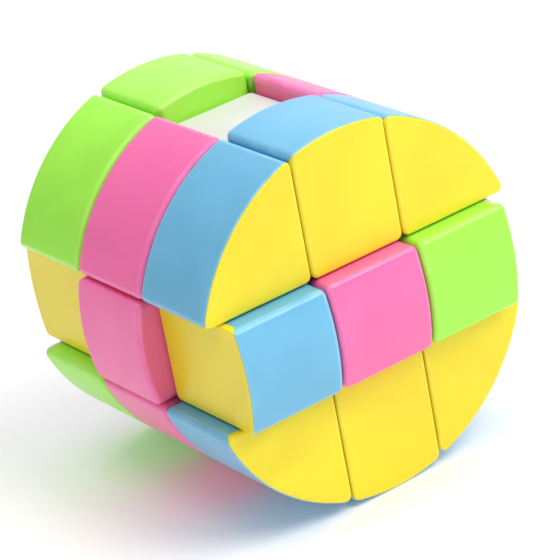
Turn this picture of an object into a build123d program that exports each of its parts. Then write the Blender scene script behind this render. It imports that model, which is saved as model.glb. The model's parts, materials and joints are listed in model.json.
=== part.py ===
from build123d import *
import os

# A barrel-shaped 3x3x3 turning puzzle, modelled with its middle row turned a
# quarter turn and its centre slice turned a quarter turn after that.
# Origin: centre of the core.  +Z: up through the top layer.  The barrel axis
# of the solved puzzle runs along Y, with its front end facing -Y and left at -X.
# All sizes are millimetres.

os.makedirs("parts", exist_ok=True)

# ---- outside of the solved barrel -------------------------------------------
RADIUS = 32.9            # curved side
HALF_HEIGHT = 28.2       # centre to either flat end
HALF_UNIT = 9.5          # centre to the cuts on each side of a middle layer
GAP = 0.15               # each piece stands back this far from its cut
CUT_ROUND = 1.2          # rounding where two cut faces meet
EDGE_ROUND = 0.9         # rounding around the curved faces and the flat centres
END_ROUND = 0.55         # rounding around the flat ends

# ---- shells -------------------------------------------------------------------
WALL = 1.3               # moulded wall of every coloured shell
LID = WALL               # thickness of the end colour, seen edge on at a cut
SEAM = 0.01              # half the joint between the two colours of one piece
SEAT = 0.05              # play between a shell and the foot it clips onto

# ---- turning mechanism --------------------------------------------------------
TURN_RADIUS = 21.5       # sphere the feet slide under
INNER_CUT = 6.0          # centre to the flat underside of the feet
FOOT_TOP = 23.0          # sphere where feet end and shells begin
PLUG_TOP = 26.5          # sphere that ends the plugs inside the shells
CORE_OUT_CORNER = 2.0    # radius of the moulding hole in a corner foot
CORE_OUT_EDGE = 2.6      # radius of the moulding hole in an edge foot
CORE_OUT_START = 13.0    # distance of both holes' floors from the centre

# ---- core, screws and springs --------------------------------------------------
CORE_ROUND = 1.2
ARM_RADIUS = 3.5
ARM_END = 9.0
ARM_PLAY = 0.06          # radial running fit of a centre base on its arm
SCREW_RADIUS = 1.5
SCREW_PLAY = 0.08        # radial running fit of a centre base on its screw
SCREW_TIP = 2.3
PRESS = 0.01             # the shank is this much slimmer than its hole
HOLE_REST = 0.1          # each core hole runs this far past its screw's tip
FLANGE_BOTTOM = 9.15
FLANGE_TOP = 10.6
SPRING_WELL = 3.7
SPRING_COIL = 2.65       # mean radius of the coil
SPRING_WIRE = 0.38
SPRING_TURNS = 5
SPRING_FREE = 0.1        # play below the spring; half as much above it
WASHER_PLAY = 0.1
WASHER_BOTTOM = 15.7
WASHER_RADIUS = 3.3
HEAD_BOTTOM = 16.3
HEAD_RADIUS = 2.9
HEAD_TOP = 17.9
HEAD_ROUND = 0.5
SLOT_LENGTH = 3.6        # cross slot in the screw head
SLOT_WIDTH = 0.8
SLOT_DEPTH = 1.1

FAR = 40.0               # beyond the outside of the puzzle in every direction
PAST_END = 5.0           # how far the cone behind a lid's rim runs on past the flat end
SHARP_BELOW = 0.9        # faces whose normals agree less than this meet at an edge


# ---- basic volumes -------------------------------------------------------------

def span(low, high):
    """Block between two corner points."""
    size = [b - a for a, b in zip(low, high)]
    middle = [(a + b) / 2 for a, b in zip(low, high)]
    return Pos(*middle) * Box(*size)


def corner_space(start):
    """Everything right of, in front of and above the given distance."""
    return span((start, -FAR, start), (FAR, -start, FAR))


def edge_space(start, half_width):
    """Top front edge: in front of and above `start`, within `half_width` sideways."""
    return span((-half_width, -FAR, start), (half_width, -start, FAR))


def side_edge_space(start, half_width):
    """Top right edge of the middle slice."""
    return span((start, -half_width, start), (FAR, half_width, FAR))


def centre_space(half_width, start):
    """Square column standing up from `start`."""
    return span((-half_width, -half_width, start), (half_width, half_width, FAR))


def barrel(inset=0.0):
    """The solved outside shape, optionally shrunk on all sides."""
    drum = Cylinder(RADIUS - inset, 2 * (HALF_HEIGHT - inset))
    return Rot(90, 0, 0) * drum


def lid_space(shift):
    """Where the end colour lies: a lid on the front end, mitred round its rim."""
    apex = RADIUS - HALF_HEIGHT + shift
    height = apex + HALF_HEIGHT + PAST_END
    cone = Pos(0, apex - height / 2, 0) * Rot(-90, 0, 0) * Cone(height, 0, height)
    return cone & span((-FAR, -FAR, -FAR), (FAR, LID - HALF_HEIGHT + shift, FAR))


def rounded(block, inner_edges):
    """Round the inward edges, then around the flat end, then what is still sharp."""
    block = fillet(inner_edges(block), CUT_ROUND)
    around_end = [e for e in block.edges() if on_flat_end(e)]
    if around_end:
        block = fillet(around_end, END_ROUND)
    sharp = [e for e in block.edges() if is_sharp(block, e)]
    return fillet(sharp, EDGE_ROUND)


def on_flat_end(edge):
    """True for an edge that lies in the plane of the front end."""
    return edge.bounding_box().max.Y < -HALF_HEIGHT + 1e-3


def is_sharp(block, edge):
    """True where the two faces on an edge meet at an angle."""
    faces = [f for f in block.faces() if any(edge.is_same(e) for e in f.edges())]
    if len(faces) != 2:
        return False
    spot = edge.position_at(0.5)
    first, second = (f.normal_at(spot) for f in faces)
    return first.dot(second) < SHARP_BELOW


def straight(block, axes):
    """Straight edges running along any of the named axes."""
    lines = block.edges().filter_by(GeomType.LINE)
    return [e for axis in axes for e in lines.filter_by(axis)]


# ---- coloured shells -----------------------------------------------------------

OUTER = HALF_UNIT + GAP          # cut face of a piece beyond the cut
INNER = HALF_UNIT - GAP          # cut face of a piece between two cuts
HOLLOW_OUTER = OUTER + WALL
HOLLOW_INNER = INNER - WALL


def corner_inward(block):
    """Corner edges that do not lie on the flat end."""
    return [e for e in straight(block, (Axis.X, Axis.Y, Axis.Z))
            if e.center().Y > -HALF_HEIGHT + 1e-3]


def centre_inward(block):
    """The four upright edges of a centre block."""
    return straight(block, (Axis.Z,))


def hollowed(block, hollow):
    """Shell of a block: hollow inside and open toward the foot."""
    return block - hollow - Sphere(FOOT_TOP + SEAT)


def two_colours(shell):
    """Part a shell into the lid at its flat end and the side shell under it."""
    return shell & lid_space(-SEAM), shell - lid_space(SEAM)


def corner_shells():
    block = rounded(corner_space(OUTER) & barrel(), corner_inward)
    return two_colours(hollowed(block, corner_space(HOLLOW_OUTER) & barrel(WALL)))


def edge_shells():
    block = rounded(edge_space(OUTER, INNER) & barrel(), corner_inward)
    hollow = edge_space(HOLLOW_OUTER, HOLLOW_INNER) & barrel(WALL)
    return two_colours(hollowed(block, hollow))


def side_edge_shell():
    block = side_edge_space(OUTER, INNER) & barrel()
    block = rounded(block, lambda b: straight(b, (Axis.X, Axis.Y, Axis.Z)))
    hollow = side_edge_space(HOLLOW_OUTER, HOLLOW_INNER) & barrel(WALL)
    return hollowed(block, hollow)


def flat_centre_cap():
    block = centre_space(INNER, OUTER) & span((-FAR, -FAR, 0), (FAR, FAR, HALF_HEIGHT))
    block = rounded(block, centre_inward)
    inside = span((-FAR, -FAR, 0), (FAR, FAR, HALF_HEIGHT - WALL))
    return hollowed(block, centre_space(HOLLOW_INNER, OUTER) & inside)


def curved_centre_cap():
    block = rounded(centre_space(INNER, OUTER) & barrel(), centre_inward)
    return hollowed(block, centre_space(HOLLOW_INNER, OUTER) & barrel(WALL))


# ---- feet and centre bases ------------------------------------------------------

def foot(inner, neck, dish, plug):
    """Hooked foot: under the sphere, through its neck, to the seat and plug."""
    hook = inner & Sphere(TURN_RADIUS - GAP)
    raised = (dish & Sphere(FOOT_TOP)) + (plug & Sphere(PLUG_TOP))
    return hook + (neck & Sphere(FOOT_TOP)) + (raised - Sphere(TURN_RADIUS + GAP))


def moulding_hole(radius, direction):
    """Round blind hole along a direction, opening inside the shell."""
    start = Vector(*direction).normalized() * CORE_OUT_START
    return Plane(origin=start, z_dir=direction) * Pos(0, 0, FAR / 2) * Cylinder(radius, FAR)


PLUG_OUTER = HOLLOW_OUTER + SEAT
PLUG_INNER = HOLLOW_INNER - SEAT


def corner_foot():
    body = foot(corner_space(INNER_CUT + GAP), corner_space(OUTER),
                corner_space(OUTER), corner_space(PLUG_OUTER))
    return body - moulding_hole(CORE_OUT_CORNER, (1, -1, 1))


def edge_foot():
    narrow = INNER_CUT - GAP
    body = foot(edge_space(INNER_CUT + GAP, narrow), edge_space(OUTER, narrow),
                edge_space(OUTER, INNER), edge_space(PLUG_OUTER, PLUG_INNER))
    return body - moulding_hole(CORE_OUT_EDGE, (0, -1, 1))


def centre_base():
    narrow = INNER_CUT - GAP
    body = foot(centre_space(narrow, INNER_CUT + GAP), centre_space(narrow, OUTER),
                centre_space(INNER, OUTER), centre_space(PLUG_INNER, OUTER + WALL))
    arm_bore = rod(ARM_RADIUS + ARM_PLAY, 0, FLANGE_BOTTOM)
    screw_bore = rod(SCREW_RADIUS + SCREW_PLAY, 0, FAR)
    return body - arm_bore - screw_bore - rod(SPRING_WELL, FLANGE_TOP, FAR)


# ---- core and hardware -----------------------------------------------------------

def rod(radius, bottom, top):
    """Upright round bar on the Z axis."""
    return Pos(0, 0, (bottom + top) / 2) * Cylinder(radius, top - bottom)


def core():
    half = INNER_CUT - GAP
    body = Box(2 * half, 2 * half, 2 * half)
    body = fillet(body.edges(), CORE_ROUND)
    for turn in SIX_WAYS.values():
        body += turn * rod(ARM_RADIUS, 0, ARM_END)
    for turn in SIX_WAYS.values():
        body -= turn * rod(SCREW_RADIUS, SCREW_TIP - HOLE_REST, FAR)
    return body


def screw():
    shank = rod(SCREW_RADIUS - PRESS, SCREW_TIP, HEAD_TOP - HEAD_ROUND)
    head = rod(HEAD_RADIUS, HEAD_BOTTOM, HEAD_TOP)
    head = fillet(head.edges().group_by(Axis.Z)[-1], HEAD_ROUND)
    slot = Box(SLOT_LENGTH, SLOT_WIDTH, 2 * SLOT_DEPTH)
    return shank + head - Pos(0, 0, HEAD_TOP) * (slot + Rot(0, 0, 90) * slot)


def washer():
    return rod(WASHER_RADIUS, WASHER_BOTTOM, HEAD_BOTTOM) - rod(SCREW_RADIUS + WASHER_PLAY, 0, FAR)


def spring():
    bottom = FLANGE_TOP + SPRING_FREE + SPRING_WIRE
    height = WASHER_BOTTOM - SPRING_FREE / 2 - SPRING_WIRE - bottom
    path = Helix(height / SPRING_TURNS, height, SPRING_COIL)
    section = Plane(origin=path @ 0, z_dir=path % 0) * Circle(SPRING_WIRE)
    return Pos(0, 0, bottom) * sweep(section, path)


# ---- where everything goes --------------------------------------------------------

SIX_WAYS = {"top": Rot(0, 0, 0), "bottom": Rot(180, 0, 0), "front": Rot(90, 0, 0),
            "back": Rot(-90, 0, 0), "left": Rot(0, -90, 0), "right": Rot(0, 90, 0)}

AROUND = [Rot(0, 0, 90 * n) for n in range(4)]
FLIP = Rot(0, 180, 0)
BACK = Rot(0, 0, 180)

# Each corner of the barrel, reached from the one at top front right.
CORNERS = {"top_front_right": Rot(0, 0, 0), "top_front_left": Rot(0, -90, 0),
           "bottom_front_left": FLIP, "bottom_front_right": Rot(0, 90, 0)}
CORNERS.update({"top_back_left": BACK * CORNERS["top_front_right"],
                "top_back_right": BACK * CORNERS["top_front_left"],
                "bottom_back_right": BACK * CORNERS["bottom_front_left"],
                "bottom_back_left": BACK * CORNERS["bottom_front_right"]})

# The middle row has been turned, so its edges carry their end colour on the
# left and right and their curved sides on the front and back.
ROW_TURN = Rot(0, 0, -90)
EDGES = {"top_front": Rot(0, 0, 0), "bottom_front": FLIP,
         "top_back": BACK, "bottom_back": FLIP * BACK,
         "middle_front_left": ROW_TURN * Rot(0, 90, 0),
         "middle_back_left": ROW_TURN * Rot(0, -90, 0),
         "middle_front_right": ROW_TURN * Rot(0, 90, 0) * BACK,
         "middle_back_right": ROW_TURN * Rot(0, -90, 0) * BACK}
SIDE_EDGES = {"top_right": Rot(0, 0, 0), "top_left": Rot(0, -90, 0),
              "bottom_left": FLIP, "bottom_right": Rot(0, 90, 0)}

# After the second turn two end centres sit on top and bottom, sunk below the
# curved pieces, and the four curved centres stand around them.
FLAT_CENTRES = {"top": Rot(0, 0, 0), "bottom": FLIP}
CURVED_CENTRES = {"left": Rot(0, -90, 0), "right": Rot(0, 90, 0),
                  "front": ROW_TURN * Rot(0, 90, 0), "back": ROW_TURN * Rot(0, -90, 0)}


def save(name, *shapes):
    """Write one node; several shapes become separate solids in one file."""
    solids = [s for shape in shapes for s in shape.solids()]
    body = solids[0] if len(solids) == 1 else Compound(children=solids)
    body.label = name
    export_step(body, f"parts/{name}.step")


def save_pair(name, turn, shells):
    end, side = shells
    save(f"{name}_end_shell", turn * end)
    save(f"{name}_side_shell", turn * side)


corner_pair = corner_shells()
for place, turn in CORNERS.items():
    save_pair(f"{place}_corner", turn, corner_pair)

edge_pair = edge_shells()
for place, turn in EDGES.items():
    save_pair(f"{place}_edge", turn, edge_pair)

one_side_edge = side_edge_shell()
for place, turn in SIDE_EDGES.items():
    save(f"{place}_edge_shell", turn * one_side_edge)

flat_cap = flat_centre_cap()
for place, turn in FLAT_CENTRES.items():
    save(f"{place}_centre_cap", turn * flat_cap)

curved_cap = curved_centre_cap()
for place, turn in CURVED_CENTRES.items():
    save(f"{place}_centre_cap", turn * curved_cap)

one_base = centre_base()
for place, turn in SIX_WAYS.items():
    save(f"{place}_centre_base", turn * one_base)

one_corner_foot = corner_foot()
one_edge_foot = edge_foot()
save("top_corner_feet", *[turn * one_corner_foot for turn in AROUND])
save("bottom_corner_feet", *[FLIP * turn * one_corner_foot for turn in AROUND])
save("top_edge_feet", *[turn * one_edge_foot for turn in AROUND])
save("bottom_edge_feet", *[FLIP * turn * one_edge_foot for turn in AROUND])
save("middle_edge_feet", *[turn * Rot(0, 90, 0) * one_edge_foot for turn in AROUND])

save("core", core())
save("core_screws", *[turn * screw() for turn in SIX_WAYS.values()])
save("core_springs", *[turn * spring() for turn in SIX_WAYS.values()])
save("spring_washers", *[turn * washer() for turn in SIX_WAYS.values()])
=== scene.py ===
# %% [markdown]
# # A barrel-shaped turning puzzle
#
# This puzzle is a three-layer twisty puzzle whose outside is a short round barrel.
# It lies on its curved side.  The middle row has been turned a quarter turn, and
# the slice between the two ends a quarter turn after that, so the middle row
# stands proud of the flat ends and a flat white centre is sunk on top.
#
# The solid model already holds every coloured shell at its real size.  This
# lesson reads it, works out its leading measures, gives each plastic its finish,
# winds the springs and cuts the screw threads that the solid model leaves plain,
# and then lights the puzzle as a studio would.

# %% Load the solid model
import json
import math

import bpy
import numpy as np
from mathutils import Matrix, Vector


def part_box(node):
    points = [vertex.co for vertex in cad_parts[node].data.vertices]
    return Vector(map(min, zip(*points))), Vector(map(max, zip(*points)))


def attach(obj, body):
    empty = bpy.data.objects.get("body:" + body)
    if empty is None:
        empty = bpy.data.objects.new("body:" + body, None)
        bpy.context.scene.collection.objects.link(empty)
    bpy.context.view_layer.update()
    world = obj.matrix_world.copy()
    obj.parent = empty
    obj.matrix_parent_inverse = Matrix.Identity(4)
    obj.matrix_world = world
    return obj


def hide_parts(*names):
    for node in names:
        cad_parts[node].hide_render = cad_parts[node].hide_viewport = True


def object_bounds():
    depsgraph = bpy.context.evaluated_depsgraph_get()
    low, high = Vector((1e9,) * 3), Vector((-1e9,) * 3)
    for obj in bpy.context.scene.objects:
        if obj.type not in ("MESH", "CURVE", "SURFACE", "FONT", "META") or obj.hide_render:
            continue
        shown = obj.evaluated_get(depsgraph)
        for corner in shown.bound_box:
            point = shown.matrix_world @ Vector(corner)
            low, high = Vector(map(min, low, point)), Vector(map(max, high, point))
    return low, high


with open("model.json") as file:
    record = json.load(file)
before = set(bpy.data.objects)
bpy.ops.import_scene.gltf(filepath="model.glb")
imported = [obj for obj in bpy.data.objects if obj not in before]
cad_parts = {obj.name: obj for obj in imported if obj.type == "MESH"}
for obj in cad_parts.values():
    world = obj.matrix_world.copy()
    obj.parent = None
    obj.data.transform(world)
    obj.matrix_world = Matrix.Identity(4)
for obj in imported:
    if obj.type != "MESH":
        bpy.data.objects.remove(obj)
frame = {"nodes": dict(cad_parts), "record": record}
solid_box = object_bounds()
nodes = frame["nodes"]
print("solid pieces:", len(nodes), " box:", [[round(v, 4) for v in corner] for corner in solid_box])

# %% [markdown]
# ## Measures that the finishes need
#
# Wear on a turning puzzle follows its cuts: the flat walls inside a cut rub on
# their neighbours, and the rounded edges beside a cut are what fingers catch.
# The painted highlight on those edges and the painted shade in the cuts follow
# the cuts as well.
# So the finishes need three distances from the centre: to the cuts, to the flat
# ends and to the curved side.  They could be typed in again, but reading them
# from the pieces means that they stay right if the model's sizes change.

# %% Read the leading measures
radius = solid_box[1][0]
flat_end = -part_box("top_front_edge_end_shell")[0].y
cap_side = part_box("front_centre_cap")[1].x
neighbour_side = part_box("middle_front_right_edge_side_shell")[0].x
cut = (cap_side + neighbour_side) / 2
print(f"radius {radius * 1000:.2f} mm, flat end {flat_end * 1000:.2f} mm, cut {cut * 1000:.2f} mm")

# %% [markdown]
# ## A short way to write materials
#
# A Blender material is a graph of nodes.  It can be wired by hand in the shader
# editor or, as here, from a script.  A small class keeps each step to one line:
# every method adds one node and returns its output, so a pattern reads like a
# sum.  A value that is the same all over the surface is never wired: `even`
# sets it on the shader itself.


# %% The recipe class
class Recipe:
    """The node graph of one finish.  Every method adds a node and returns its output."""

    def __init__(self, name):
        self.material = bpy.data.materials.new(name)
        self.material.use_nodes = True
        self.tree = self.material.node_tree
        self.shader = self.tree.nodes["Principled BSDF"]
        coordinates = self.node("ShaderNodeTexCoord")
        self.place = coordinates.outputs["Object"]
        self.facing = coordinates.outputs["Normal"]

    def node(self, kind, **settings):
        made = self.tree.nodes.new(kind)
        for setting, value in settings.items():
            setattr(made, setting, value)
        return made

    def feed(self, socket, value):
        """Wire an output into a socket, or set the socket to a plain value."""
        if isinstance(value, bpy.types.NodeSocket):
            self.tree.links.new(value, socket)
        else:
            socket.default_value = value

    def math(self, operation, *values):
        made = self.node("ShaderNodeMath", operation=operation)
        for socket, value in zip(made.inputs, values):
            self.feed(socket, value)
        return made.outputs["Value"]

    def arrow(self, operation, *values, output="Vector"):
        """Arithmetic on vectors; output is Value for a dot product or a length."""
        made = self.node("ShaderNodeVectorMath", operation=operation)
        for socket, value in zip(made.inputs, values):
            self.feed(socket, value)
        return made.outputs[output]

    def stretch(self, lengths, turn):
        """The place on the piece, along turned axes and counted in `lengths` metres."""
        made = self.node("ShaderNodeMapping", vector_type="TEXTURE")
        self.feed(made.inputs["Vector"], self.place)
        made.inputs["Rotation"].default_value = turn
        made.inputs["Scale"].default_value = lengths
        return made.outputs["Vector"]

    def noise(self, per_metre, detail=2.0, warp=0.0, at=None):
        """Soft random values from 0 to 1, about `per_metre` blobs to the metre."""
        made = self.node("ShaderNodeTexNoise")
        self.feed(made.inputs["Vector"], at or self.place)
        made.inputs["Scale"].default_value = per_metre
        made.inputs["Detail"].default_value = detail
        made.inputs["Distortion"].default_value = warp
        return made.outputs["Fac"]

    def rings(self, distance, per_metre):
        """Random bands that depend on one distance only."""
        made = self.node("ShaderNodeTexNoise", noise_dimensions="1D")
        self.feed(made.inputs["W"], distance)
        made.inputs["Scale"].default_value = per_metre
        made.inputs["Detail"].default_value = 2.0
        return made.outputs["Fac"]

    def ramp(self, value, low, high, start=0.0, end=1.0):
        """Ease from `start` to `end` as value goes from low to high."""
        made = self.node("ShaderNodeMapRange", interpolation_type="SMOOTHSTEP")
        for name, number in (("From Min", low), ("From Max", high),
                             ("To Min", start), ("To Max", end)):
            made.inputs[name].default_value = number
        self.feed(made.inputs["Value"], value)
        return made.outputs["Result"]

    def blend(self, amount, first, second):
        """Blend two colours; amount 0 gives the first one."""
        made = self.node("ShaderNodeMix", data_type="RGBA")
        self.feed(made.inputs[0], amount)
        self.feed(made.inputs[6], first)
        self.feed(made.inputs[7], second)
        return made.outputs[2]

    def relief(self, height, depth, under=None):
        """Bump: height 0 to 1 stands for `depth` metres."""
        made = self.node("ShaderNodeBump")
        made.inputs["Strength"].default_value = 1.0
        made.inputs["Distance"].default_value = depth
        self.feed(made.inputs["Height"], height)
        if under is not None:
            self.feed(made.inputs["Normal"], under)
        return made.outputs["Normal"]

    def even(self, **numbers):
        """Set shader inputs that are the same all over the surface."""
        for name, number in numbers.items():
            self.shader.inputs[name.replace("_", " ")].default_value = number

    def finish(self, colour, roughness, normal):
        self.feed(self.shader.inputs["Base Color"], colour)
        self.feed(self.shader.inputs["Roughness"], roughness)
        self.feed(self.shader.inputs["Normal"], normal)
        return self.material


# %% [markdown]
# ## Finding walls and rounded edges by one distance
#
# Where is a point on a shell: on an outside face, on a wall inside a cut, or on
# the rounding between them?  Distance along the surface would need painting or
# baking.  A neater test is the distance from the centre of the puzzle to the
# plane that touches the surface at that point, which is the dot product of the
# point and its normal.  It is the cut distance on every wall, the end distance
# on every flat face and the radius on every curved face, whichever way the piece
# points, and something in between on a rounding.  A second test tells the
# roundings that fingers touch from the inner edges where two walls meet.  All
# inputs are in the piece's own coordinates, so the pattern rides with a layer
# as it turns.


# %% Masks for walls and roundings
WALL_SLACK = 0.0003       # metres a wall may stand off its cut
ROUNDING_SLACK = 0.0012   # past this the surface is well into a rounding
INNER_LIMIT = 0.0020      # an inner edge stays this close to its cuts
SHALLOW = 0.0318          # this far from the centre an inner edge has no dust and no painted shade
DEEP = 0.0285             # and from here inward it has full dust and painted shade


def touch_distance(r):
    """How far from the centre the touching plane stands."""
    return r.math("ABSOLUTE", r.arrow("DOT_PRODUCT", r.place, r.facing, output="Value"))


def off_by(r, distance, level):
    """How far a distance is from a given level, either way."""
    return r.math("ABSOLUTE", r.math("SUBTRACT", distance, level))


def wall_mask(r, distance):
    """1 on the flat walls inside the cuts, 0 elsewhere."""
    return r.ramp(off_by(r, distance, cut), WALL_SLACK, 2 * WALL_SLACK, 1.0, 0.0)


def inside_cuts(r):
    """1 where every direction that the surface faces leads into a cut.

    Along each axis: how far the point is from the cut plane, times how much the
    surface faces that way.  The sum of the three is small on walls and on the
    edges between two walls, and large beside any outside face.
    """
    off_planes = r.arrow("SUBTRACT", r.arrow("ABSOLUTE", r.place), (cut, cut, cut))
    off_planes = r.arrow("ABSOLUTE", off_planes)
    total = r.arrow("DOT_PRODUCT", off_planes, r.arrow("ABSOLUTE", r.facing), output="Value")
    return r.ramp(total, INNER_LIMIT, 1.5 * INNER_LIMIT, 1.0, 0.0)


def rounding_mask(r, distance, inside):
    """1 on the rounded outside edges, 0 on every wall, flat end and curved side."""
    nearest = r.math("MINIMUM", off_by(r, distance, cut), off_by(r, distance, flat_end))
    nearest = r.math("MINIMUM", nearest, off_by(r, distance, radius))
    rounding = r.ramp(nearest, WALL_SLACK, ROUNDING_SLACK)
    return r.math("MULTIPLY", rounding, r.math("SUBTRACT", 1.0, inside))


def dust_and_shade_mask(r, distance, inside):
    """1 where two walls meet below the surface, where grease and dust gather and painted shade darkens
    the deep cut.
    """
    past_wall = r.ramp(distance, cut + 2 * WALL_SLACK, cut + ROUNDING_SLACK)
    reach = r.arrow("LENGTH", r.place, output="Value")
    sunk = r.ramp(reach, DEEP, SHALLOW, 1.0, 0.0)
    return r.math("MULTIPLY", r.math("MULTIPLY", past_wall, inside), sunk)


def axis_distance(r, distance):
    """Distance from the turning axis that a wall slides round.

    The square on the point's distance from the centre, less the square on the
    touching plane's distance, is the square on this one.
    """
    square = r.arrow("DOT_PRODUCT", r.place, r.place, output="Value")
    left_over = r.math("SUBTRACT", square, r.math("MULTIPLY", distance, distance))
    return r.math("SQRT", r.math("MAXIMUM", left_over, 0.0))


print(f"a wall's slack is {WALL_SLACK * 1000} mm")

# %% [markdown]
# ## Coloured shells: moulded plastic, coloured right through
#
# The shells are ABS, moulded in their own colour, with no stickers and no paint.
# A real one is never quite even, and each cause gets its own layer here:
# - pigment that flowed into the mould unevenly, as broad soft clouds of colour;
# - fine speckle from the pigment's grains;
# - edges painted paler: a painted highlight where light comes out of the thin
#   plastic, and the polish that handling gives them;
# - walls in the cuts that are duller and painted a deeper tone, which is painted
#   shade, with rings rubbed round the turning axis, and a dark mark where two
#   walls meet that is dust and grease and also painted shade;
# - a satin skin with finger smudges, a few hairlines and the faint waviness of
#   moulded plastic.
# A painted texture could hold all that, but it would need unwrapping and would
# have a fixed sharpness.  Noise in the piece's own coordinates costs nothing to
# carry, and two neighbouring pieces never repeat each other.


# %% Hairline scratches
LINE_LENGTH, LINE_WIDTH = 0.016, 0.00024    # metres, of the noise that makes them


def hairlines(r, turn):
    """Thin straight lines: noise drawn out into fibres, kept only at its peaks."""
    fibres = r.stretch((LINE_LENGTH, LINE_WIDTH, LINE_WIDTH), turn)
    return r.ramp(r.noise(1.0, 0.0, at=fibres), 0.79, 0.84)


# %% Layers of the shell finish
# Blobs to the metre of each pattern
CLOUDS, SPECKLE, WEAR_AND_HIGHLIGHT, SMUDGES, PATCHES = 38.0, 4200.0, 210.0, 62.0, 90.0
RUBBED_RINGS = 2600.0
# Skin of a moulding: blobs to the metre, detail and depth in metres of each layer
SKIN_RELIEF = ((55.0, 1.0, 0.000050), (820.0, 2.0, 0.000006), (7000.0, 1.0, 0.0000012))
SCRATCH_DEPTH, RUBBED_DEPTH = 0.000002, 0.000004
DARKER, LIGHTER, LIFT = 0.93, 1.03, 0.004   # the two tones of the clouds
DUST_AND_SHADE_TINT, DUST_AND_SHADE_LIFT = 0.16, 0.01           # dust and painted shade keep a little of the shell's colour


def rubbed_rings(r, distance, walls):
    """Rings that neighbours rub round the turning axis: in patches, on walls only."""
    rings = r.ramp(r.rings(axis_distance(r, distance), RUBBED_RINGS), 0.56, 0.70)
    patches = r.ramp(r.noise(PATCHES, 2.0), 0.42, 0.62)
    return r.math("MULTIPLY", r.math("MULTIPLY", rings, patches), walls)


def satin_roughness(r, walls, edges, scratches, rubbed):
    """Satin with finger smudges: duller on walls, scratches and rings, glossier on edges."""
    roughness = r.ramp(r.noise(SMUDGES, 4.0, warp=0.6), 0.35, 0.70, 0.31, 0.39)
    roughness = r.math("ADD", roughness, r.math("MULTIPLY", walls, 0.12))
    roughness = r.math("SUBTRACT", roughness, r.math("MULTIPLY", edges, 0.02))
    roughness = r.math("ADD", roughness, r.math("MULTIPLY", scratches, 0.14))
    return r.math("ADD", roughness, r.math("MULTIPLY", rubbed, 0.10))


def moulded_skin(r, scratches, rubbed):
    """Faint relief of a moulding, with the scratches and rings cut into it."""
    normal = None
    for per_metre, detail, depth in SKIN_RELIEF:
        normal = r.relief(r.noise(per_metre, detail), depth, normal)
    normal = r.relief(r.math("SUBTRACT", 1.0, scratches), SCRATCH_DEPTH, normal)
    return r.relief(r.math("SUBTRACT", 1.0, rubbed), RUBBED_DEPTH, normal)


print("skin layers:", len(SKIN_RELIEF))


# %% The shell finish
def shell_plastic(name, colour, pale_and_highlight_colour, wall_shade_colour):
    """Satin moulded plastic with cloud, speckle, pale edge, wall tone, dust and scratch layers; the
    pale edges are partly painted highlight, the wall tone is painted shade and the dust is partly
    painted shade.
    """
    r = Recipe(name)
    distance = touch_distance(r)
    walls = wall_mask(r, distance)
    inside = inside_cuts(r)
    edges = rounding_mask(r, distance, inside)
    corners = dust_and_shade_mask(r, distance, inside)

    clouds = r.noise(CLOUDS, 3.0, warp=1.2)
    darker = tuple(DARKER * c for c in colour) + (1,)
    lighter = tuple(min(1.0, LIGHTER * c + LIFT) for c in colour) + (1,)
    body = r.blend(r.ramp(clouds, 0.30, 0.70), darker, lighter)
    speckle = r.ramp(r.noise(SPECKLE, 1.0), 0.62, 0.80, 0.0, 0.10)
    body = r.blend(speckle, body, pale_and_highlight_colour + (1,))

    # the rounded edges are tinted paler: painted highlight, and partly the polish of handling
    worn_and_highlight = r.math("MULTIPLY", edges, r.ramp(r.noise(WEAR_AND_HIGHLIGHT, 3.0), 0.25, 0.75, 0.15, 0.60))
    body = r.blend(worn_and_highlight, body, pale_and_highlight_colour + (1,))
    # walls in the cuts are blended toward a deeper tone: painted shade of the cuts
    body = r.blend(r.math("MULTIPLY", walls, 0.6), body, wall_shade_colour + (1,))
    # a near-black mark where two walls meet, darker deeper in the cut: dust, and painted shade
    dust_and_shade_colour = tuple(DUST_AND_SHADE_TINT * c + DUST_AND_SHADE_LIFT for c in colour) + (1,)
    body = r.blend(r.math("MULTIPLY", corners, r.ramp(clouds, 0.2, 0.8, 0.75, 0.95)), body, dust_and_shade_colour)

    rubbed = rubbed_rings(r, distance, walls)
    body = r.blend(r.math("MULTIPLY", rubbed, 0.35), body, pale_and_highlight_colour + (1,))
    scratches = r.math("MAXIMUM", hairlines(r, (0.3, 0.5, 0.9)), hairlines(r, (1.2, -0.4, -0.7)))
    body = r.blend(r.math("MULTIPLY", scratches, 0.22), body, pale_and_highlight_colour + (1,))

    roughness = satin_roughness(r, walls, edges, scratches, rubbed)
    normal = moulded_skin(r, scratches, rubbed)

    r.even(IOR=1.50, Coat_Weight=0.08, Coat_Roughness=0.12,
           Subsurface_Weight=0.20, Subsurface_Scale=0.0018)
    r.shader.inputs["Subsurface Radius"].default_value = tuple(0.25 + 0.75 * c for c in colour)
    return r.finish(body, roughness, normal)


# %% Five colours
# Each colour: body, pale tone (painted highlight on the edges, and the tone of speckle, rubbed rings
# and scratches), wall tone (painted shade in the cuts)
SHELLS = {
    "yellow_plastic": ((0.92, 0.735, 0.006), (0.97, 0.86, 0.10), (0.92, 0.70, 0.01)),
    "white_plastic": ((0.70, 0.69, 0.66), (0.78, 0.79, 0.75), (0.68, 0.69, 0.64)),
    "blue_plastic": ((0.155, 0.49, 0.75), (0.30, 0.64, 0.86), (0.13, 0.46, 0.72)),
    "green_plastic": ((0.37, 0.91, 0.065), (0.50, 0.94, 0.17), (0.38, 0.92, 0.06)),
    "pink_plastic": ((1.00, 0.160, 0.43), (1.00, 0.30, 0.56), (1.00, 0.17, 0.36)),
}
finishes = {slot: shell_plastic(slot, *colours) for slot, colours in SHELLS.items()}
print("shell finishes:", ", ".join(sorted(finishes)))

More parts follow.
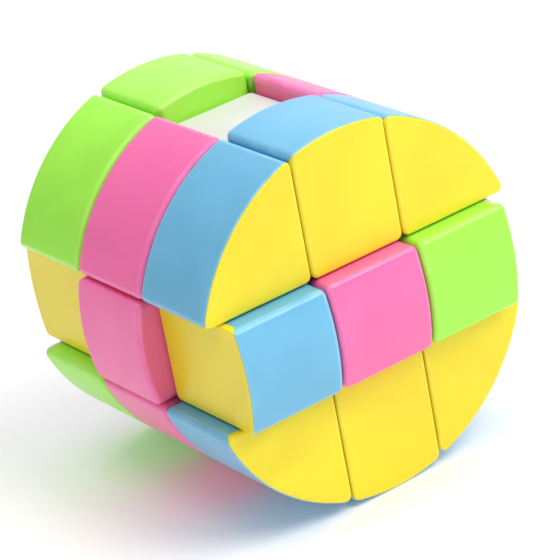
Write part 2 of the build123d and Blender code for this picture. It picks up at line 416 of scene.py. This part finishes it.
# %% [markdown]
# ## Hidden pieces: feet, core and hardware
#
# The feet that hook the layers together are black acetal, smooth and smeared
# with grease.  The core is natural nylon, which is milky and drinks up colour
# unevenly.  The screws, springs and washers are zinc-plated steel.  They are
# only seen when the puzzle is taken apart, but a part is reused in pieces too,
# so each gets its own finish and not a plain colour.


# %% Greased acetal
def greased_acetal(name):
    """Black bearing plastic: flow lines, thin streaks of grease, rubbed rings."""
    r = Recipe(name)
    distance = touch_distance(r)
    flow = r.ramp(r.noise(70.0, 4.0, warp=2.0), 0.30, 0.72)
    body = r.blend(flow, (0.022, 0.022, 0.025, 1), (0.042, 0.042, 0.047, 1))
    reach = r.arrow("LENGTH", r.place, output="Value")
    rubbed = r.ramp(r.rings(reach, 3100.0), 0.52, 0.72)
    rubbed = r.math("MULTIPLY", rubbed, r.ramp(r.noise(120.0, 2.0), 0.40, 0.65))
    body = r.blend(r.math("MULTIPLY", rubbed, 0.5), body, (0.075, 0.075, 0.080, 1))
    grease = r.ramp(r.noise(160.0, 3.0, warp=1.0), 0.48, 0.60)
    roughness = r.math("SUBTRACT", r.ramp(flow, 0.0, 1.0, 0.36, 0.46), r.math("MULTIPLY", grease, 0.24))
    edges = rounding_mask(r, distance, inside_cuts(r))
    roughness = r.math("SUBTRACT", roughness, r.math("MULTIPLY", edges, 0.04))
    normal = r.relief(r.noise(900.0, 2.0), 0.000008)
    normal = r.relief(grease, 0.000030, normal)
    r.even(IOR=1.48)
    return r.finish(body, roughness, normal)


# %% Natural nylon
def natural_nylon(name):
    """Milky plastic with warm patches, fine pores and a dull skin."""
    r = Recipe(name)
    warm = r.ramp(r.noise(110.0, 4.0, warp=0.8), 0.35, 0.70)
    body = r.blend(warm, (0.80, 0.79, 0.74, 1), (0.72, 0.70, 0.61, 1))
    pores = r.ramp(r.noise(2600.0, 2.0), 0.62, 0.74)
    body = r.blend(r.math("MULTIPLY", pores, 0.35), body, (0.55, 0.53, 0.46, 1))
    roughness = r.math("ADD", r.ramp(warm, 0.0, 1.0, 0.40, 0.50), r.math("MULTIPLY", pores, 0.15))
    normal = r.relief(r.math("SUBTRACT", 1.0, pores), 0.000012)
    normal = r.relief(r.noise(700.0, 2.0), 0.000010, normal)
    r.even(IOR=1.53, Subsurface_Weight=0.25, Subsurface_Scale=0.002)
    return r.finish(body, roughness, normal)


# %% Zinc-plated steel
def zinc_steel(name):
    """Plated wire and screws: bluish grains of zinc, drawing marks, a few dull spots."""
    r = Recipe(name)
    grains = r.node("ShaderNodeTexVoronoi", feature="F1")
    r.feed(grains.inputs["Vector"], r.place)
    grains.inputs["Scale"].default_value = 3800.0
    tint = r.ramp(grains.outputs["Distance"], 0.1, 0.8)
    body = r.blend(tint, (0.66, 0.68, 0.71, 1), (0.54, 0.56, 0.60, 1))
    dull = r.ramp(r.noise(420.0, 4.0), 0.55, 0.70)
    body = r.blend(r.math("MULTIPLY", dull, 0.55), body, (0.40, 0.39, 0.37, 1))
    reach = r.arrow("LENGTH", r.place, output="Value")
    drawn = r.rings(reach, 9000.0)
    roughness = r.math("ADD", r.ramp(drawn, 0.3, 0.7, 0.20, 0.32), r.math("MULTIPLY", dull, 0.25))
    normal = r.relief(drawn, 0.000003)
    normal = r.relief(tint, 0.000004, normal)
    r.even(Metallic=1.0)
    return r.finish(body, roughness, normal)


finishes["mechanism_plastic"] = greased_acetal("mechanism_plastic")
finishes["core_plastic"] = natural_nylon("core_plastic")
finishes["steel"] = zinc_steel("steel")
print("finishes in all:", len(finishes))

# %% Dress every solid piece
for part in frame["record"]["subparts"]:
    for holder in nodes[part["node"]].material_slots:
        holder.link = "OBJECT"
        holder.material = finishes[part["material_slot"]]

# %% [markdown]
# ## Making a mesh from a grid
#
# The springs and screws below are surfaces over two parameters.  numpy works out
# every point of such a surface at once, as three arrays of the same shape, and
# one helper turns them into a mesh: it joins neighbouring points into four-sided
# faces, wraps the second parameter round on itself, and closes both ends of the
# first one on a middle point.  The same surface is copied to all six arms of the
# core by turning its points, not its object, so each piece keeps its own origin
# at the centre of the puzzle.

# %% The six arms
SIX_WAYS = [Matrix.Identity(3)]
SIX_WAYS += [Matrix.Rotation(math.radians(turn), 3, "X") for turn in (90, 180, 270)]
SIX_WAYS += [Matrix.Rotation(math.radians(turn), 3, "Y") for turn in (90, 270)]


def top_copy(name):
    """Points of a six-way piece that belong to its copy on the upward arm."""
    mesh = nodes[name].data
    points = np.empty(len(mesh.vertices) * 3)
    mesh.vertices.foreach_get("co", points)
    points = points.reshape(-1, 3)
    return points[points[:, 2] > np.abs(points[:, :2]).max(axis=1)]


def grid_faces(rows, columns):
    """Four-sided faces of a tube of rows x columns points, and a fan at each end."""
    along, around = np.meshgrid(np.arange(rows - 1), np.arange(columns), indexing="ij")
    beside = (around + 1) % columns
    here = along * columns
    quads = np.stack([here + around, here + columns + around,
                      here + columns + beside, here + beside], axis=-1)
    ring = np.arange(columns)
    first = np.full(columns, rows * columns)
    last_row = (rows - 1) * columns
    start = np.stack([first, ring, (ring + 1) % columns], axis=-1)
    end = np.stack([first + 1, last_row + (ring + 1) % columns, last_row + ring], axis=-1)
    return quads.reshape(-1, 4).tolist(), start.tolist() + end.tolist()


def enclosed(mesh):
    """Volume inside a closed mesh in cubic metres, positive if its faces point outwards."""
    mesh.calc_loop_triangles()
    corners = np.empty(len(mesh.loop_triangles) * 3, dtype=np.int32)
    mesh.loop_triangles.foreach_get("vertices", corners)
    points = np.empty(len(mesh.vertices) * 3)
    mesh.vertices.foreach_get("co", points)
    a, b, c = points.reshape(-1, 3)[corners].reshape(-1, 3, 3).transpose(1, 0, 2)
    return float(np.einsum("ij,ij->i", a, np.cross(b, c)).sum() / 6)


def six_copies(name, x, y, z, slot):
    """One piece made of the grid surface repeated on all six arms."""
    rows, columns = x.shape
    grid = np.stack([x, y, z], axis=-1)
    middles = np.stack([grid[0].mean(axis=0), grid[-1].mean(axis=0)])
    one = np.vstack([grid.reshape(-1, 3), middles])
    quads, fans = grid_faces(rows, columns)
    points = np.vstack([one @ np.array(turn).T for turn in SIX_WAYS])
    faces = [[corner + copy * len(one) for corner in face]
             for copy in range(len(SIX_WAYS)) for face in quads + fans]
    mesh = bpy.data.meshes.new(name)
    mesh.from_pydata(points.tolist(), [], faces)
    mesh.shade_smooth()
    mesh.materials.append(finishes[slot])
    piece = bpy.data.objects.new(name, mesh)
    bpy.context.scene.collection.objects.link(piece)
    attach(piece, "middle_layer")
    print(f"{name}: {len(faces)} faces, {enclosed(mesh) * 1e9:.1f} cubic mm inside")
    return piece


# %% [markdown]
# ## Springs with closed and ground ends
#
# Each arm carries a compression spring that pulls its centre piece inward.  A
# real one is wound with its last turns lying against each other, and the ends
# are ground flat so that it stands square.  A curve with a bevel would make the
# coil, but neither the closed turns nor the ground faces.  Here the wire is a
# circle carried along a helix whose rise per turn changes: slow, fast, slow.
# Grinding is then one line: no point may lie outside the spring's own length.

# %% Read the spring's size
coil_points = top_copy("core_springs")
from_axis = np.hypot(coil_points[:, 0], coil_points[:, 1])
coil = (from_axis.max() + from_axis.min()) / 2
coil_low, coil_high = coil_points[:, 2].min(), coil_points[:, 2].max()
wire_radius = (from_axis.max() - from_axis.min()) / 2
print(f"coil radius {coil * 1000:.2f} mm, wire {wire_radius * 2000:.2f} mm thick")

# %% Wind the springs
ACTIVE_TURNS = 3.5
CLOSED_TURNS = 1.1        # at each end
GROUND_AWAY = 0.5         # of the wire's radius, off each end
STEPS_PER_TURN = 40
WIRE_SIDES = 14


def wound_wire():
    """A circle round the wire's centre line, carried along a helix.

    Height rises by a wire's thickness per turn in the closed turns, and evenly
    through the active turns between them.
    """
    turns = ACTIVE_TURNS + 2 * CLOSED_TURNS
    t = np.linspace(0.0, turns, int(turns * STEPS_PER_TURN) + 1)
    low = coil_low + wire_radius * (1 - GROUND_AWAY)
    high = coil_high - wire_radius * (1 - GROUND_AWAY)
    closed_rise = CLOSED_TURNS * 2 * wire_radius
    height = np.interp(t, [0, CLOSED_TURNS, turns - CLOSED_TURNS, turns],
                       [low, low + closed_rise, high - closed_rise, high])
    kernel = np.hanning(STEPS_PER_TURN // 2)
    ends = np.pad(height, len(kernel), mode="edge")
    height = np.convolve(ends, kernel / kernel.sum(), "same")[len(kernel):-len(kernel)]
    turn = (2 * np.pi * t)[:, None]
    around = np.linspace(0, 2 * np.pi, WIRE_SIDES, endpoint=False)[None, :]
    reach = coil + wire_radius * np.cos(around)
    x = reach * np.cos(turn)
    y = reach * np.sin(turn)
    z = np.clip(height[:, None] + wire_radius * np.sin(around), coil_low, coil_high)
    return x, y, z


springs = six_copies("wound_springs", *wound_wire(), "steel")
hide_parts("core_springs")

# %% [markdown]
# ## Screws with a real thread and a cross slot
#
# The six screws hold the puzzle together and set how tightly it turns.  Their
# thread could be swept along a helix and joined to a rod, but the join leaves
# messy faces.  One closed surface does it all: walk a profile from the middle of
# the head over its rim, under it, down the shank and round the tip, turn it
# about the axis, and let the radius swell where the thread passes.  The cross
# slot is the same idea on the head: points inside a rounded cross are let down.

# %% Read the screw's size
screw_points = top_copy("core_screws")
screw_reach = np.hypot(screw_points[:, 0], screw_points[:, 1])
NEAR_TIP = 0.001          # metres of the tip that show the bare shank
shank = screw_reach[screw_points[:, 2] < screw_points[:, 2].min() + NEAR_TIP].max()
head = screw_reach.max()
screw_tip, head_top = screw_points[:, 2].min(), screw_points[:, 2].max()
head_bottom = screw_points[screw_reach > 0.9 * head, 2].min()
arm_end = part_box("core")[1].z
screw_length = head_top - screw_tip
print(f"shank {shank * 1000:.2f} mm, head {head * 1000:.2f} mm, length {screw_length * 1000:.1f} mm")

# %% Cut the thread
PITCH = 0.0011
THREAD_DEPTH = 0.00032
SLOT_HALF_WIDTH = 0.00042
SLOT_HALF_LENGTH = 0.0018
SLOT_DEPTH = 0.0010
SLOT_SLOPE = 1.35         # the slot's walls lean out to this share of its half width
SLOT_RUN_OUT = 0.9        # and its ends start rising at this share of its half length
CREST, ROOT = 0.15, 0.85  # shares of a thread's flank where its cut starts and ends
TIP_TAPER = 0.0012
TIP_SLIMMER = 0.45        # share of the shank's radius taken off at the tip
HEAD_CROWN = 0.00045      # rounding of the head's rim
NECK = 0.0002             # step under the head's rim and beside the shank
FIRST_RING = 0.02         # share of the head's flat where its first ring of points lies
TOP_STEPS, RIM_STEPS, SHANK_STEPS = 22, 7, 130
SCREW_SIDES = 48


def eased(value, low, high):
    """0 below low, 1 above high and a smooth step between."""
    t = np.clip((value - low) / (high - low), 0, 1)
    return t * t * (3 - 2 * t)


def screw_profile():
    """Reach from the axis and height, from the head's middle to the tip."""
    top_reach = (head - HEAD_CROWN) * np.linspace(FIRST_RING, 1, TOP_STEPS)
    top_height = np.full_like(top_reach, head_top)
    bend = np.linspace(0, np.pi / 2, RIM_STEPS)[1:]
    rim_reach = head - HEAD_CROWN + HEAD_CROWN * np.sin(bend)
    rim_height = head_top - HEAD_CROWN + HEAD_CROWN * np.cos(bend)
    under_reach = np.array([head, head, 0.75 * head, shank + NECK, shank])
    under_height = head_bottom + np.array([NECK, 0, 0, 0, -NECK])
    drop = np.linspace(head_bottom - 2 * NECK, screw_tip, SHANK_STEPS)
    return (np.concatenate([top_reach, rim_reach, under_reach, np.full_like(drop, shank)]),
            np.concatenate([top_height, rim_height, under_height, drop]))


def slot_arm(along, across):
    """1 inside one arm of the cross slot and 0 outside, with sloping walls."""
    beside = eased(np.abs(across), SLOT_HALF_WIDTH, SLOT_SLOPE * SLOT_HALF_WIDTH)
    past = eased(np.abs(along), SLOT_RUN_OUT * SLOT_HALF_LENGTH, SLOT_HALF_LENGTH)
    return (1 - beside) * (1 - past)


def threaded_screw():
    """The profile turned about the axis, cut by the thread and the cross slot.

    Thread: the reach drops by a triangle wave of (height / pitch - angle / turn),
    only below the core arm's end.  Slot: the height drops inside a cross.
    """
    reach, height = (line[:, None] for line in screw_profile())
    angle = np.linspace(0, 2 * np.pi, SCREW_SIDES, endpoint=False)[None, :]
    phase = (height / PITCH - angle / (2 * np.pi)) % 1.0
    groove = 1 - np.abs(2 * phase - 1)
    threaded = 1 - eased(height, arm_end - PITCH, arm_end)
    cutting = THREAD_DEPTH * threaded * eased(groove, CREST, ROOT)
    taper = TIP_SLIMMER * shank * (1 - eased(height, screw_tip, screw_tip + TIP_TAPER))
    reach = reach - np.where(height < head_bottom, cutting + taper, 0.0)
    x = reach * np.cos(angle)
    y = reach * np.sin(angle)
    cross = np.maximum(slot_arm(x, y), slot_arm(y, x))
    z = height - SLOT_DEPTH * cross * (height > head_bottom + SLOT_DEPTH)
    return x, y, z


screws = six_copies("threaded_screws", *threaded_screw(), "steel")
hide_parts("core_screws")

# %% [markdown]
# ## Table
#
# The puzzle lies on its curved side on a plain, very pale table, which melts
# into the white behind it.  A single flat sheet would do, but a real sweep of
# paper has a faint grain and is never one exact tone, so it gets a quiet finish
# of its own.  It also glows very slightly, which is painted light, as no lamp
# lies under it; this keeps the shadow soft.  The table is stage and not part of
# the puzzle.


# %% Pale table
TABLE_REACH = 4.0         # metres each way from the middle
PAINTED_GLOW = 0.07


def pale_paper(name):
    """Matt paper: faint clouds, a fine tooth and a faint glow that is painted light."""
    r = Recipe(name)
    clouds = r.noise(6.0, 2.0)
    body = r.blend(clouds, (0.95, 0.95, 0.95, 1), (0.97, 0.97, 0.965, 1))
    roughness = r.ramp(r.noise(300.0, 2.0), 0.3, 0.7, 0.72, 0.82)
    # the paper glows a little of its own: painted light that softens its shadow
    r.even(Emission_Color=(1, 1, 1, 1), Emission_Strength=PAINTED_GLOW)
    return r.finish(body, roughness, r.relief(r.noise(2500.0, 2.0), 0.00001))


def flat_sheet(name, reach, height):
    """A level sheet: corners at plus and minus `reach` both ways."""
    side = np.array([-1.0, 1.0]) * reach
    x, y = np.meshgrid(side, side)
    points = np.stack([x, y, np.full_like(x, height)], axis=-1).reshape(-1, 3)
    mesh = bpy.data.meshes.new(name)
    mesh.from_pydata(points.tolist(), [], [(0, 1, 3, 2)])
    sheet = bpy.data.objects.new(name, mesh)
    bpy.context.scene.collection.objects.link(sheet)
    return sheet


table = flat_sheet("table_top", TABLE_REACH, solid_box[0][2])
table.data.materials.append(pale_paper("pale_paper"))
print("table at", round(solid_box[0][2] * 1000, 2), "mm")

# %% [markdown]
# ## Light
#
# Small goods like this are lit inside a white tent: light comes from all round,
# with one large soft lamp above and a stronger one high at the front right, so
# the top and the front end are bright and the left side falls off gently.  A
# weak one behind puts the pale sheen on the tops.  A sky picture could give that
# too, but lamps can be moved and measured one at a time.

# %% White tent
TENT = 0.43
world = bpy.data.worlds.new("white_tent")
bpy.context.scene.world = world
world.use_nodes = True
backdrop = world.node_tree.nodes["Background"]
backdrop.inputs["Color"].default_value = (1, 1, 1, 1)
backdrop.inputs["Strength"].default_value = TENT


def soft_lamp(name, place, size, power):
    """A round lamp at `place` that faces the puzzle."""
    data = bpy.data.lights.new(name, "AREA")
    data.shape = "DISK"
    data.size = size
    data.energy = power
    lamp = bpy.data.objects.new(name, data)
    lamp.location = place
    lamp.rotation_euler = (-Vector(place)).to_track_quat("-Z", "Y").to_euler()
    bpy.context.scene.collection.objects.link(lamp)


# Place in metres, width in metres and power in watts of each lamp
LAMPS = {
    "overhead": ((-0.05, 0.05, 0.80), 0.75, 2.9),
    "high_front_right": ((0.30, -0.45, 0.62), 0.60, 4.6),
    "behind": ((0.41, 0.66, 0.33), 0.80, 1.0),
}
for lamp_name, (place, size, power) in LAMPS.items():
    soft_lamp(lamp_name, place, size, power)
print("lamps:", ", ".join(LAMPS))

# %% [markdown]
# ## Camera
#
# The camera looks down on the puzzle from its front left with a long lens, and
# it is tipped a little to one side, so the barrel seems to roll.  A camera can
# be given by three angles, a distance and the point that it looks at.  Lengths
# are metres, but a lens is counted in millimetres.

# %% Place the camera
AZIMUTH = math.radians(32.02)      # from straight in front, towards the left
ELEVATION = math.radians(24.29)
TIPPED = math.radians(10.89)
DISTANCE = 0.4869
AIM = Vector((0.00098, -0.00154, -0.00170))
LENS = 182.6              # millimetres, on a sensor this wide:
SENSOR = 36

ahead = Vector((math.sin(AZIMUTH) * math.cos(ELEVATION),
                math.cos(AZIMUTH) * math.cos(ELEVATION), -math.sin(ELEVATION)))
level_right = ahead.cross(Vector((0, 0, 1))).normalized()
level_up = level_right.cross(ahead)
right = math.cos(TIPPED) * level_right - math.sin(TIPPED) * level_up
up = math.cos(TIPPED) * level_up + math.sin(TIPPED) * level_right
camera_data = bpy.data.cameras.new("camera")
camera_data.sensor_width = SENSOR
camera_data.lens = LENS
camera = bpy.data.objects.new("camera", camera_data)
turned = Matrix((right, up, -ahead)).transposed().to_4x4()
camera.matrix_world = Matrix.Translation(AIM - DISTANCE * ahead) @ turned
bpy.context.scene.collection.objects.link(camera)
bpy.context.scene.camera = camera
bpy.context.scene.view_settings.view_transform = "Standard"
print("camera at", [round(v, 4) for v in camera.location])
